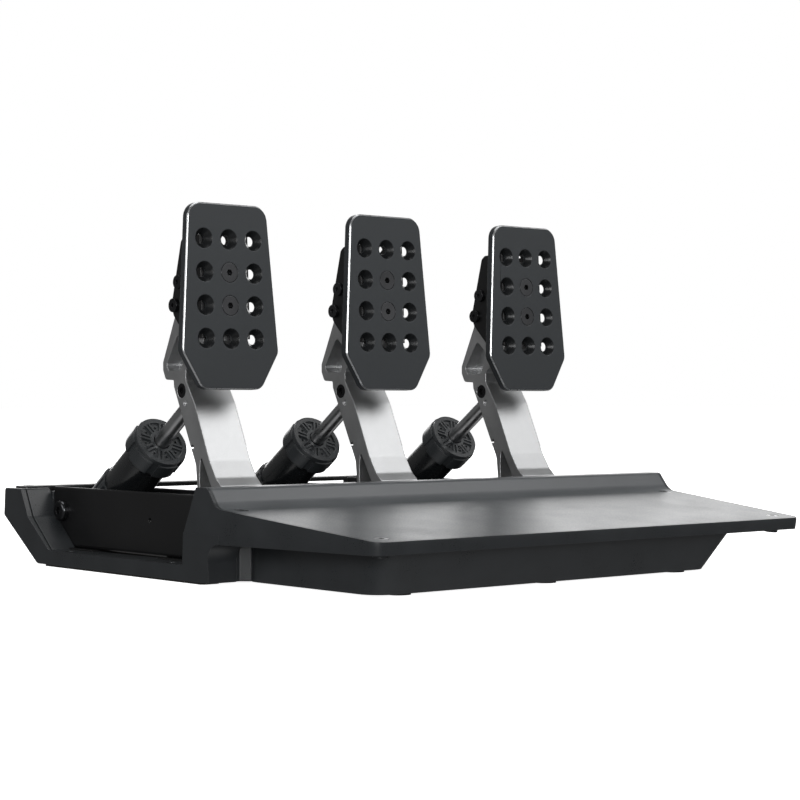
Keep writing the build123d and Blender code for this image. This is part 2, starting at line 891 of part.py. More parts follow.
crossbar_screws = cap_screws(
    [Plane(origin=(x, y, crossbar_top_height)) for x, y in crossbar_screw_places],
    crossbar_screw_radius,
    crossbar_screw_length,
    crossbar_screw_head_radius,
    crossbar_screw_head_height,
    crossbar_screw_radius / 2,
    crossbar_screw_head_height / 2,
)
save(crossbar_screws, "crossbar_screws")

channel_screws = cap_screws(
    [Plane(origin=(x, y, channel_floor_height + channel_sheet)) for x, y in channel_screw_places],
    channel_screw_radius,
    channel_screw_length,
    channel_screw_head_radius,
    channel_screw_head_height,
    channel_screw_radius / 2,
    channel_screw_head_height / 2,
)
save(channel_screws, "channel_screws")

# Places along the damper's axis and blends of the arm and the bracket
tube_front_distance = cap_face_distance - cap_face_thickness
piston_rear_distance = tube_front_distance - piston_front_gap - piston_length
arm_radii = arm_rear_blends + head_blends + arm_front_blends
bracket_radii = [0] + [bracket_fillet] * (len(bracket_shares) - 2) + [0]

# Directions behind the tilted face plate and along the damper
face_sin = sin(radians(face_tilt))
face_cos = cos(radians(face_tilt))
damper_sin = sin(radians(damper_angle))
damper_cos = cos(radians(damper_angle))


def behind_face(back, up):
    """Side view place at a depth behind the face plate's front and a height above its middle."""
    return (
        face_y + up * face_sin + back * face_cos,
        face_z + up * face_cos - back * face_sin,
    )


def on_bracket(share):
    """Side view place from shares of the bracket's depth, measured from the plate's back."""
    return behind_face(face_thickness + share[0] * bracket_depth, share[1] * bracket_depth)


def on_arm(share):
    """Side view place from shares of the height from the hinge to the rod pin."""
    return (hinge_y + share[0] * arm_unit, hinge_z + share[1] * arm_unit)


def face_plane(x, back):
    """Plane parallel to the face plate's front, facing the driver."""
    y, z = behind_face(back, 0)
    return Plane(origin=(x, y, z), x_dir=(1, 0, 0), z_dir=(0, -face_cos, face_sin))


def damper_plane(x, distance):
    """Plane square to the damper's axis at a distance from its foot pivot."""
    return Plane(
        origin=(x, foot_y - distance * damper_cos, foot_z + distance * damper_sin),
        x_dir=(1, 0, 0),
        z_dir=(0, -damper_cos, damper_sin),
    )


def both_sides(x, half, place):
    """Two planes facing out on either side of a pedal's middle, at one side view place."""
    y, z = place
    return [
        Plane(origin=(x + hand * half, y, z), x_dir=(0, hand, 0), z_dir=(hand, 0, 0))
        for hand in (-1, 1)
    ]


arm_top = [on_bracket(share) for share in head_rear_shares]
head_front_depth = (bracket_sheet + fit_gap) / bracket_depth
arm_head_front = [on_bracket((share[0] + head_front_depth, share[1])) for share in head_front_shares]
face_hole_places = [
    ((column - (hole_columns - 1) / 2) * hole_column_pitch, (row - (hole_rows - 1) / 2) * hole_row_pitch)
    for column in range(hole_columns)
    for row in range(hole_rows)
]
middle_holes = [place for place in face_hole_places if abs(place[0]) < hole_column_pitch / 2]
face_screw_holes = [place for place in middle_holes if abs(place[1]) < hole_row_pitch]


# Folded channel that carries one pedal
def make_channel(x):
    with BuildPart() as channel:
        with BuildSketch(side(x)):
            with BuildLine():
                FilletPolyline(
                    (channel_front_y, channel_floor_height),
                    (channel_rear_y, channel_floor_height),
                    (channel_rear_y, channel_top_height),
                    (channel_front_y, channel_top_height),
                    radius=[0, channel_rear_corner, 0, 0],
                    close=True,
                )
            make_face()
        extrude(amount=channel_half_width, both=True)
        lower = channel.edges().filter_by(Axis.Y).group_by(Axis.Z)[0]
        fillet(lower, channel_sheet)
        with BuildSketch(Plane.XZ.offset(-channel_rear_y - cut_overrun)):
            with Locations((x, channel_floor_height + channel_sheet)):
                Rectangle(
                    channel_inner_half * 2,
                    channel_top_height,
                    align=(Align.CENTER, Align.MIN),
                )
        extrude(amount=overall_depth, mode=Mode.SUBTRACT)
        upper = channel.edges().filter_by(Axis.Y).group_by(Axis.Z)[-1]
        fillet(upper, channel_edge_radius)
        with BuildSketch(side(x)):
            with Locations((hinge_y, hinge_z)):
                Circle(hinge_axle_radius + fit_gap)
            with Locations((channel_bolt_y, channel_bolt_z)):
                Circle(channel_bolt_radius + fit_gap)
            with Locations((channel_vent_y, channel_vent_z)):
                Circle(channel_vent_radius)
        extrude(amount=channel_half_width + cut_overrun, both=True, mode=Mode.SUBTRACT)
        with BuildSketch(Plane.XY):
            with Locations(*[p for p in channel_screw_places if abs(p[0] - x) < channel_half_width]):
                Circle(channel_screw_radius + fit_gap)
        extrude(amount=channel_floor_height + channel_sheet + fit_gap, mode=Mode.SUBTRACT)
    return channel


# Block that holds the damper's foot between the channel walls
def make_foot_bracket(x):
    block_half = channel_inner_half - bracket_block_gap
    floor = channel_floor_height + channel_sheet
    with BuildPart() as block:
        with BuildSketch(side(x)):
            with BuildLine():
                FilletPolyline(
                    (foot_y - foot_block_front_run, floor),
                    (foot_y + foot_block_rear_run, floor),
                    (foot_y + foot_block_rear_run, floor + foot_block_height),
                    (foot_y + foot_block_nose_radius, floor + foot_block_height),
                    (foot_y - foot_block_front_run, foot_z),
                    radius=[0, 0, foot_axle_radius, foot_axle_radius, 0],
                    close=True,
                )
            make_face()
            with Locations((foot_y, foot_z)):
                Circle(foot_block_nose_radius)
        extrude(amount=block_half, both=True)
        slot_half = lug_half_width + foot_slot_gap
        slot_width = foot_slot_radius * 2
        with BuildSketch(side(x)):
            with Locations((foot_y, foot_z)):
                Circle(foot_slot_radius)
            with Locations((foot_y - foot_slot_radius, foot_z)):
                Rectangle(slot_width, foot_block_height * 2, align=(Align.MIN, Align.MIN))
            with Locations((foot_y, foot_z)):
                Rectangle(slot_width, slot_width, align=(Align.MAX, Align.CENTER))
        extrude(amount=slot_half, both=True, mode=Mode.SUBTRACT)
        with BuildSketch(side(x)):
            with Locations((foot_y, foot_z)):
                Circle(foot_axle_radius + fit_gap)
        extrude(amount=channel_half_width, both=True, mode=Mode.SUBTRACT)
        bolt_depth = channel_bolt_length - channel_sheet + fit_gap
        with BuildSketch(*both_sides(x, block_half, (channel_bolt_y, channel_bolt_z))):
            Circle(channel_bolt_radius + fit_gap)
        extrude(amount=-min(bolt_depth, block_half), mode=Mode.SUBTRACT)
    return block


# Forged arm: one outline, hollowed into an I section from both sides, with a slot for the rod
def make_arm(x):
    with BuildPart() as arm:
        with BuildSketch(side(x)):
            with BuildLine():
                FilletPolyline(
                    *[on_arm(share) for share in arm_rear_shares],
                    *arm_top,
                    *arm_head_front,
                    *[on_arm(share) for share in arm_front_shares],
                    radius=arm_radii,
                    close=True,
                )
            make_face()
            with Locations((hinge_y, hinge_z)):
                Circle(hub_radius)
        extrude(amount=arm_half_width, both=True)
        # Pockets from both sides leave the web, the rims and the rear rib
        pockets = (
            (knee_pocket_shares, knee_pocket_radius, knee_pocket_depth),
            (shin_pocket_shares, shin_pocket_radius, shin_pocket_depth),
        )
        for shares, radius, depth in pockets:
            for hand in (-1, 1):
                with BuildSketch(side(x + hand * (arm_half_width - depth))):
                    with BuildLine():
                        FilletPolyline(*[on_arm(share) for share in shares], radius=radius, close=True)
                    make_face()
                extrude(amount=hand * depth, mode=Mode.SUBTRACT)
        # Slot for the rod's end, open to the rear and wide enough for its swing
        with BuildSketch(side(x)):
            with Locations((rod_pin_y, rod_pin_z)):
                Circle(rod_slot_radius)
            for swing in (-slot_swing_margin, slot_swing):
                with Locations(Location((rod_pin_y, rod_pin_z, 0), (0, 0, 1), swing - damper_angle)):
                    Rectangle(slot_reach, rod_slot_radius * 2, align=(Align.MIN, Align.CENTER))
        extrude(amount=rod_slot_half_width, both=True, mode=Mode.SUBTRACT)
        # Rod pin and its sunk heads
        with BuildSketch(side(x)):
            with Locations((rod_pin_y, rod_pin_z)):
                Circle(rod_pin_radius + fit_gap)
        extrude(amount=arm_half_width + cut_overrun, both=True, mode=Mode.SUBTRACT)
        with BuildSketch(*both_sides(x, arm_half_width, (rod_pin_y, rod_pin_z))):
            Circle(rod_pin_head_radius + fit_gap)
        extrude(amount=-rod_pin_head_depth - fit_gap, mode=Mode.SUBTRACT)
        with BuildSketch(side(x)):
            with Locations(on_arm(pin_hole_share)):
                Circle(pin_hole_radius)
        extrude(amount=arm_half_width + cut_overrun, both=True, mode=Mode.SUBTRACT)
        with BuildSketch(*both_sides(x, arm_half_width, on_arm(setscrew_share))):
            Circle(setscrew_radius)
        extrude(amount=-setscrew_depth, mode=Mode.SUBTRACT)
        # Bore for the hinge bushes, with the axle's clearance between them
        with BuildSketch(side(x)):
            with Locations((hinge_y, hinge_z)):
                Circle(bush_radius + fit_gap)
        extrude(amount=arm_half_width + cut_overrun, both=True, mode=Mode.SUBTRACT)
        # Threaded holes for the face screws and the bracket screws
        with BuildSketch(face_plane(x, face_thickness)):
            with Locations(*face_screw_holes):
                Circle(face_screw_radius + fit_gap)
        extrude(amount=-face_screw_length, mode=Mode.SUBTRACT)
        for share in bracket_screw_shares:
            with BuildSketch(*both_sides(x, arm_half_width, on_bracket(share))):
                Circle(bracket_screw_radius + fit_gap)
            extrude(amount=bracket_sheet - bracket_screw_length, mode=Mode.SUBTRACT)
    return arm


# Two flanged bushes pressed into the arm's hub
def make_hinge_bushes(x):
    with BuildPart() as bushes:
        planes = both_sides(x, arm_half_width, (hinge_y, hinge_z))
        with BuildSketch(*planes):
            Circle(bush_radius)
        extrude(amount=-bush_length)
        with BuildSketch(*planes):
            Circle(bush_flange_radius)
        extrude(amount=bush_flange_thickness)
        with BuildSketch(side(x)):
            with Locations((hinge_y, hinge_z)):
                Circle(hinge_axle_radius + running_gap)
        extrude(amount=channel_half_width, both=True, mode=Mode.SUBTRACT)
    return bushes


# Folded bracket that wraps the arm's head and carries the face plate
def make_face_bracket(x):
    outer_half = arm_half_width + fit_gap + bracket_sheet
    corners = [on_bracket(share) for share in bracket_shares]
    with BuildPart() as bracket:
        with BuildSketch(side(x)):
            with BuildLine():
                FilletPolyline(*corners, radius=bracket_radii, close=True)
            make_face()
        extrude(amount=outer_half, both=True)
        with BuildSketch(side(x)):
            with BuildLine():
                Polyline(
                    behind_face(face_thickness + bracket_sheet, -face_bottom_drop),
                    behind_face(face_thickness + bracket_depth * 2, -face_bottom_drop),
                    behind_face(face_thickness + bracket_depth * 2, face_top_reach),
                    behind_face(face_thickness + bracket_sheet, face_top_reach),
                    close=True,
                )
            make_face()
        extrude(amount=arm_half_width + fit_gap, both=True, mode=Mode.SUBTRACT)
        with BuildSketch(face_plane(x, face_thickness)):
            with Locations(*middle_holes):
                Circle(face_hole_radius)
        extrude(amount=-bracket_sheet - fit_gap, mode=Mode.SUBTRACT)
        for share in bracket_screw_shares:
            with BuildSketch(side(x)):
                with Locations(on_bracket(share)):
                    Circle(bracket_screw_radius + fit_gap)
            extrude(amount=outer_half + cut_overrun, both=True, mode=Mode.SUBTRACT)
    return bracket


# Face plate with a grid of countersunk holes
def make_face_plate(x):
    with BuildPart() as plate:
        with BuildSketch(face_plane(x, 0)):
            with BuildLine():
                FilletPolyline(
                    (-face_top_half_width, face_top_reach),
                    (-face_shoulder_half_width, -face_shoulder_drop),
                    (-face_bottom_half_width, -face_bottom_drop),
                    (face_bottom_half_width, -face_bottom_drop),
                    (face_shoulder_half_width, -face_shoulder_drop),
                    (face_top_half_width, face_top_reach),
                    radius=[
                        face_top_radius,
                        face_shoulder_radius,
                        face_bottom_radius,
                        face_bottom_radius,
                        face_shoulder_radius,
                        face_top_radius,
                    ],
                    close=True,
                )
            make_face()
        extrude(amount=-face_thickness)
        front = plate.faces().sort_by(Axis.Y)[0]
        chamfer(front.edges(), face_edge_chamfer)
        with Locations(face_plane(x, 0)):
            with Locations(*face_hole_places):
                CounterSinkHole(
                    face_hole_radius,
                    face_countersink_radius,
                    depth=face_thickness + cut_overrun,
                    counter_sink_angle=face_screw_sink_angle,
                )
    return plate


# Two countersunk screws through the plate and four button screws through the bracket
def make_face_screws(x):
    head_radius = face_countersink_radius - fit_gap * 2
    head_height = (head_radius - face_screw_radius) / tan(radians(face_screw_sink_angle / 2))
    bracket_half = arm_half_width + fit_gap + bracket_sheet
    with BuildPart() as screws:
        with Locations(face_plane(x, fit_gap)):
            with Locations(*face_screw_holes):
                Cone(
                    face_screw_radius,
                    head_radius,
                    head_height,
                    align=(Align.CENTER, Align.CENTER, Align.MAX),
                )
        with BuildSketch(face_plane(x, fit_gap + head_height)):
            with Locations(*face_screw_holes):
                Circle(face_screw_radius)
        extrude(amount=head_height - face_screw_length)
        with BuildSketch(face_plane(x, face_screw_socket_depth)):
            with Locations(*face_screw_holes):
                RegularPolygon(face_screw_socket_radius, 6)
        extrude(amount=face_screw_socket_depth + cut_overrun, mode=Mode.SUBTRACT)
        for share in bracket_screw_shares:
            planes = both_sides(x, bracket_half, on_bracket(share))
            with BuildSketch(*planes):
                Circle(bracket_screw_head_radius)
            extrude(amount=bracket_screw_head_height)
            with BuildSketch(*planes):
                Circle(bracket_screw_radius)
            extrude(amount=-bracket_screw_length)
            with BuildSketch(*[p.offset(bracket_screw_head_height) for p in planes]):
                RegularPolygon(bracket_screw_socket_radius, 6)
            extrude(amount=-bracket_screw_socket_depth, mode=Mode.SUBTRACT)
    return screws


# Pin through the arm and the rod's eye, with a sunk head at each end
def make_rod_pin(x):
    with BuildPart() as pin:
        with BuildSketch(side(x)):
            with Locations((rod_pin_y, rod_pin_z)):
                Circle(rod_pin_radius)
        extrude(amount=arm_half_width - fit_gap, both=True)
        planes = both_sides(x, arm_half_width - fit_gap, (rod_pin_y, rod_pin_z))
        with BuildSketch(*planes):
            Circle(rod_pin_head_radius)
        extrude(amount=fit_gap - rod_pin_head_depth)
        with BuildSketch(*planes):
            RegularPolygon(rod_pin_radius, 6)
        extrude(amount=-rod_pin_head_depth / 2, mode=Mode.SUBTRACT)
    return pin


# Push rod with a flattened, rounded end round the rod pin
def make_rod(x):
    with BuildPart() as rod:
        with BuildSketch(damper_plane(x, piston_rear_distance)):
            Circle(rod_radius)
        extrude(amount=damper_length - piston_rear_distance + rod_radius)
        with BuildSketch(side(x)):
            with Locations((rod_pin_y, rod_pin_z)):
                Circle(rod_radius)
            with Locations(Location((rod_pin_y, rod_pin_z, 0), (0, 0, 1), -damper_angle)):
                Rectangle(damper_length, rod_radius * 2, align=(Align.MIN, Align.CENTER))
        extrude(amount=rod_radius, both=True, mode=Mode.INTERSECT)
        for hand in (-1, 1):
            with BuildSketch(side(x + hand * rod_end_flat_half_width)):
                with Locations((rod_pin_y, rod_pin_z)):
                    Circle(rod_radius * 2)
            extrude(amount=hand * rod_radius, mode=Mode.SUBTRACT)
        with BuildSketch(side(x)):
            with Locations((rod_pin_y, rod_pin_z)):
                Circle(rod_pin_radius + rod_eye_gap)
        extrude(amount=rod_radius, both=True, mode=Mode.SUBTRACT)
        with BuildSketch(damper_plane(x, piston_rear_distance - fit_gap)):
            Circle(rod_radius + cut_overrun)
            Circle(piston_stem_radius, mode=Mode.SUBTRACT)
        extrude(amount=piston_length + fit_gap, mode=Mode.SUBTRACT)
    return rod


# Piston on the rod's inner end
def make_piston(x):
    with BuildPart() as piston:
        with BuildSketch(damper_plane(x, piston_rear_distance)):
            Circle(piston_radius)
            Circle(piston_stem_radius + fit_gap, mode=Mode.SUBTRACT)
        extrude(amount=piston_length - fit_gap)
    return piston


# Stack of rubber springs between the piston and the tube's end
def make_spring_stack(x):
    start = tube_rear_distance + tube_end_wall + stack_end_gap
    pad_length = (piston_rear_distance - stack_end_gap - start) / stack_pads
    with BuildPart() as stack:
        for index in range(stack_pads):
            foot = start + index * pad_length
            with BuildSketch(damper_plane(x, foot)):
                Circle(stack_radius)
            extrude(amount=pad_length - stack_waist)
            with BuildSketch(damper_plane(x, foot + pad_length - stack_waist)):
                Circle(stack_radius - stack_waist)
            extrude(amount=stack_waist)
        with BuildSketch(damper_plane(x, start)):
            Circle(stack_bore)
        extrude(amount=pad_length * stack_pads, mode=Mode.SUBTRACT)
    return stack


# Damper tube with a closed rear end and the lug that turns on the foot axle
def make_tube(x):
    with BuildPart() as tube:
        with BuildSketch(damper_plane(x, tube_rear_distance)):
            Circle(tube_radius)
        extrude(amount=tube_front_distance - tube_rear_distance)
        with BuildSketch(side(x)):
            with Locations((foot_y, foot_z)):
                Circle(lug_radius)
            with Locations(Location((foot_y, foot_z, 0), (0, 0, 1), 180 - damper_angle)):
                lug_reach = tube_rear_distance + tube_end_wall / 2
                Rectangle(lug_reach, lug_radius * 2, align=(Align.MIN, Align.CENTER))
        extrude(amount=lug_half_width, both=True)
        with BuildSketch(damper_plane(x, tube_rear_distance + tube_end_wall)):
            Circle(tube_radius - tube_wall)
        extrude(amount=damper_length, mode=Mode.SUBTRACT)
        with BuildSketch(side(x)):
            with Locations((foot_y, foot_z)):
                Circle(foot_axle_radius + running_gap)
        extrude(amount=lug_half_width + cut_overrun, both=True, mode=Mode.SUBTRACT)
    return tube


# Fluted preload ring screwed on the tube
def make_preload_ring(x):
    with BuildPart() as ring:
        with BuildSketch(damper_plane(x, knob_rear_distance)):
            Circle(knob_radius)
            with PolarLocations(knob_radius, knob_flute_count):
                Circle(knob_flute_radius, mode=Mode.SUBTRACT)
            Circle(tube_radius + fit_gap, mode=Mode.SUBTRACT)
        extrude(amount=knob_front_distance - knob_rear_distance)
    return ring


# Lobed cap with a spoked face round the rod
def make_cap(x):
    rear = cap_face_distance - cap_length
    pocket_outer = cap_pocket_outer_radius
    pocket_middle = (cap_pocket_outer_radius + cap_pocket_inner_radius) / 2
    with BuildPart() as cap:
        with BuildSketch(damper_plane(x, rear)):
            Circle(cap_lobe_radius)
            with PolarLocations(cap_lobe_radius, cap_lobe_count):
                Rectangle(cap_groove_depth * 2, cap_groove_width, mode=Mode.SUBTRACT)
        extrude(amount=cap_length - cap_ring_length)
        with BuildSketch(damper_plane(x, cap_face_distance - cap_ring_length)):
            Circle(cap_ring_radius)
        extrude(amount=cap_ring_length)
        # Cup that screws over the tube
        with BuildSketch(damper_plane(x, rear)):
            Circle(tube_radius + fit_gap)
        extrude(amount=tube_front_distance - rear + fit_gap, mode=Mode.SUBTRACT)
        # Bore for the rod
        with BuildSketch(damper_plane(x, rear)):
            Circle(rod_radius + rod_eye_gap)
        extrude(amount=cap_length + cut_overrun, mode=Mode.SUBTRACT)
        # Wedge pockets between the spokes, each with a small blind hole
        half_angle = 180 / cap_pocket_count
        with BuildSketch(damper_plane(x, cap_face_distance)):
            Circle(pocket_outer)
            Circle(cap_pocket_inner_radius, mode=Mode.SUBTRACT)
            with PolarLocations(0, cap_pocket_count, start_angle=half_angle):
                Rectangle(
                    pocket_outer * 2,
                    cap_spoke_width,
                    align=(Align.MIN, Align.CENTER),
                    mode=Mode.SUBTRACT,
                )
        extrude(amount=-cap_pocket_depth, mode=Mode.SUBTRACT)
        with BuildSketch(damper_plane(x, cap_face_distance)):
            with PolarLocations(pocket_middle, cap_pocket_count, start_angle=half_angle):
                Rectangle(pocket_outer - cap_pocket_inner_radius, cap_slot_width)
        extrude(amount=-cap_pocket_depth, mode=Mode.SUBTRACT)
        with BuildSketch(damper_plane(x, cap_face_distance)):
            with PolarLocations(pocket_middle, cap_pocket_count):
                Circle(cap_dot_radius)
        extrude(amount=-cap_pocket_depth - cap_dot_depth, mode=Mode.SUBTRACT)
    return cap


makers = {
    "channel": make_channel,
    "foot_bracket": make_foot_bracket,
    "arm": make_arm,
    "hinge_bushes": make_hinge_bushes,
    "face_bracket": make_face_bracket,
    "face_plate": make_face_plate,
    "face_screws": make_face_screws,
    "rod_pin": make_rod_pin,
    "rod": make_rod,
    "piston": make_piston,
    "spring_stack": make_spring_stack,
    "tube": make_tube,
    "preload_ring": make_preload_ring,
    "cap": make_cap,
}
for pedal, pedal_x in pedals.items():
    for piece_name, maker in makers.items():
        save(maker(pedal_x), f"{pedal}_{piece_name}")

# Hinge axles, foot axles and the bolts of the foot brackets, one group of each
with BuildPart() as hinge_axles:
    for pedal_x in pedals.values():
        with BuildSketch(side(pedal_x)):
            with Locations((hinge_y, hinge_z)):
                Circle(hinge_axle_radius)
        extrude(amount=channel_half_width, both=True)
save(hinge_axles, "hinge_axles")

with BuildPart() as foot_axles:
    for pedal_x in pedals.values():
        with BuildSketch(side(pedal_x)):
            with Locations((foot_y, foot_z)):
                Circle(foot_axle_radius)
        extrude(amount=channel_inner_half - fit_gap, both=True)
save(foot_axles, "foot_axles")

bolt_planes = []
for pedal_x in pedals.values():
    bolt_planes += both_sides(pedal_x, channel_half_width, (channel_bolt_y, channel_bolt_z))
channel_bolts = cap_screws(
    bolt_planes,
    channel_bolt_radius,
    channel_bolt_length,
    channel_bolt_head_radius,
    channel_bolt_head_height,
    channel_bolt_socket_radius,
    channel_bolt_socket_depth,
)
save(channel_bolts, "channel_bolts")

# Electronics box on the rear beam, between the two right-hand channels
box_x = (pedals["brake"] + pedals["throttle"]) / 2
box_y = rear_beam_y
socket_places = [box_x + (index - (socket_count - 1) / 2) * socket_pitch for index in range(socket_count)]
board_bottom = beam_top + box_wall + standoff_height
with BuildPart() as control_box:
    with BuildSketch(Plane.XY.offset(beam_top)):
        with Locations((box_x, box_y)):
            RectangleRounded(box_width, box_depth, box_corner_radius)
    extrude(amount=box_height - box_lid_thickness)
    with BuildSketch(Plane.XY.offset(beam_top + box_wall)):
        with Locations((box_x, box_y)):
            Rectangle(box_width - box_wall * 2, box_depth - box_wall * 2)
    extrude(amount=box_height, mode=Mode.SUBTRACT)
    with BuildSketch(Plane.XY.offset(beam_top + box_wall)):
        with Locations((box_x, box_y)):
            with GridLocations(
                box_width - (box_wall + board_gap + standoff_radius) * 2,
                box_depth - (box_wall + board_gap + standoff_radius) * 2,
                standoff_rows,
                standoff_rows,
            ):
                Circle(standoff_radius)
    extrude(amount=standoff_height)
    with BuildSketch(Plane.XZ.offset(-box_y - box_depth / 2)):
        with Locations(*[(x, board_bottom + board_thickness) for x in socket_places]):
            Rectangle(
                socket_width + fit_gap * 2,
                socket_height + fit_gap,
                align=(Align.CENTER, Align.MIN),
            )
    extrude(amount=box_wall, mode=Mode.SUBTRACT)
save(control_box, "control_box")

with BuildPart() as control_box_lid:
    with BuildSketch(Plane.XY.offset(beam_top + box_height - box_lid_thickness)):
        with Locations((box_x, box_y)):
            RectangleRounded(box_width, box_depth, box_corner_radius)
    extrude(amount=box_lid_thickness)
save(control_box_lid, "control_box_lid")

with BuildPart() as control_board:
    with BuildSketch(Plane.XY.offset(board_bottom)):
        with Locations((box_x, box_y)):
            Rectangle(
                box_width - (box_wall + board_gap) * 2,
                box_depth - (box_wall + board_gap) * 2,
            )
    extrude(amount=board_thickness)
    socket_rear_y = box_y + box_depth / 2
    with BuildSketch(Plane.XY.offset(board_bottom + board_thickness)):
        with Locations(*[(x, socket_rear_y) for x in socket_places]):
            Rectangle(socket_width, socket_depth, align=(Align.CENTER, Align.MAX))
    extrude(amount=socket_height)
    with BuildSketch(Plane.XZ.offset(-socket_rear_y)):
        with Locations(*[(x, board_bottom + board_thickness + socket_height / 2) for x in socket_places]):
            Rectangle(socket_width - socket_mouth_wall * 2, socket_height - socket_mouth_wall * 2)
    extrude(amount=socket_depth - socket_mouth_wall, mode=Mode.SUBTRACT)
save(control_board, "control_board")
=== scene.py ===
"""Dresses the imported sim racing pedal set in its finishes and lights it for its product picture."""

import json
import math

import bpy
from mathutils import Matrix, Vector

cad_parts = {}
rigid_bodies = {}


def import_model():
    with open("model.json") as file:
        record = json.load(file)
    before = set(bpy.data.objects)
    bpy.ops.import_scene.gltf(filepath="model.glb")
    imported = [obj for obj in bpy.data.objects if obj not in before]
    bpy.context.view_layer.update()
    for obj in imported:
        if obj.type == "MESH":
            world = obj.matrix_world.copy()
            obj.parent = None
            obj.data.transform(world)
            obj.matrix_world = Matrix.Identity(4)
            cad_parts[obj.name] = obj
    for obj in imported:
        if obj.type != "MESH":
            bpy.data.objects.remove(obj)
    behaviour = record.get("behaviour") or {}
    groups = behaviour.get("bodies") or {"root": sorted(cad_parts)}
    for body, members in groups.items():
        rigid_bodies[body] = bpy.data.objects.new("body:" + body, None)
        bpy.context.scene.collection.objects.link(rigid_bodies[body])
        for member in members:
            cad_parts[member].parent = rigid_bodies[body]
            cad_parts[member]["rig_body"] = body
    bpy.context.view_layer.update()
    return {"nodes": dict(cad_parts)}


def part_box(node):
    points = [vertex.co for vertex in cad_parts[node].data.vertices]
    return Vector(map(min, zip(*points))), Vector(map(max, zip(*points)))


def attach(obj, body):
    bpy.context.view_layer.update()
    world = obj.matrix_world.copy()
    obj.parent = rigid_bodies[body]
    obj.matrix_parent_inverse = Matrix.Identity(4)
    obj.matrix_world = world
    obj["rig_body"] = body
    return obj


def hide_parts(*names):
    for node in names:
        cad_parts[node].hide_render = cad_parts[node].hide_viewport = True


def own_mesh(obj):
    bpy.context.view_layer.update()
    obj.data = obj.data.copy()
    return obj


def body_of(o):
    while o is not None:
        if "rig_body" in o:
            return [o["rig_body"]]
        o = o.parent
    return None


bl_info = {
    "name": "Sim Racing Pedal Set",
    "version": (1, 0, 0),
    "blender": (4, 5, 0),
    "location": "View3D > Sidebar > Pedal Set",
    "description": "Dresses the packed sim racing pedal set in its finishes and lights it",
    "category": "Object",
}

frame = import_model()
nodes = frame["nodes"]

# Lengths are in metres.
pedals = ("clutch", "brake", "throttle")
moulded_nodes = ("heel_rest_shell", "left_side_frame", "right_side_frame")

# Pieces with rounded edges that stand for CAD nodes, by the node's name.
eased = {}
crease_angle = math.radians(35)
flat_angle = math.radians(0.5)
merge_distance = 1e-6
bevel_segments = 2
shader_bevel_samples = 6

# Web between the frame's arch and the skirt of the heel rest, with its cove.
skirt_inset = 0.0303
arch_depth = 0.0131
web_lap = 0.016
cove_lap = 0.006
cove_run = 0.005
rear_wall_run = 0.1465
rim_bottom = 0.0254
seat_gap = 0.0002

# Returns of the rear posts behind the channels, set back from the posts' skin.
return_width = 0.023
return_gap = 0.0005
skin_inset = 0.0008
slant_setback = 0.0405
slant_rise = 0.0316
post_top_setback = 0.0224
post_knee_setback = 0.032
post_top_rise = 0.0325

# Face plates: their outer bevels are bare metal; the sinks of their holes are painted darker, as
# painted shade in the countersinks.
face_edge = 0.0003
sink_painted_shade = 0.3
hole_reach = 0.0297
face_foot = 0.025
face_brow = 0.015
bevel_normal = (0.45, 0.9)

screw_edge = 0.0001
head_flattening = 0.2
damper_tilt = math.radians(35.9)

# Unevenness that all finishes share.
cloud_scale = 35
cloud_detail = 3
grain_detail = 2
noise_span = (0.3, 0.7)
cloud_roughness = 0.03
grain_roughness = 0.05
coat_roughness = 0.12

pad_black = (0.012, 0.012, 0.012)
screw_black = (0.06, 0.061, 0.064)
pin_black = (0.03, 0.03, 0.032)
box_black = (0.018, 0.018, 0.019)
ground_steel = (0.4, 0.4, 0.41)
rod_steel = (0.5, 0.503, 0.51)
bush_bronze = (0.45, 0.3, 0.13)
piston_nylon = (0.55, 0.54, 0.5)
spring_red = (0.35, 0.05, 0.03)
board_green = (0.015, 0.11, 0.045)

# The room is seen white, and lights the object from below up to the edge of the table.
white = (1, 1, 1, 1)
room_brightness = 0.12
table_brightness = 0.4
table_fall = (-0.75, -0.45)

floor_size = 40.0
floor_cells = 8
floor_colour = (0.9, 0.9, 0.9, 1)
floor_roughness = 0.9
floor_glow = 0.93

# Name, place, width, height and brightness of each soft light.
look_point = (0.0, 0.0, 0.12)
softboxes = (
    ("BackWall", (2.2, 2.4, 0.95), 3.8, 1.8, 2.0),
    ("ArmBox", (1.0, -1.3, 1.5), 1.9, 1.2, 2.4),
    ("FrontBox", (1.6, -2.4, 0.7), 2.6, 1.3, 0.6),
    ("CameraBox", (-1.5, -1.8, 0.47), 1.1, 0.9, 8.0),
    ("LeftBox", (-2.3, 0.2, 0.9), 1.6, 0.8, 3.0),
    ("TopBox", (0.0, 0.4, 2.2), 1.6, 1.3, 2.6),
)

# The photo's camera, as fitted for the CAD.
camera_lens = 90.40
camera_sensor = 36.0
camera_place = (-0.8991, -1.0457, 0.1125)
camera_turn = (math.radians(90 - 0.015), 0, math.radians(-40.542))


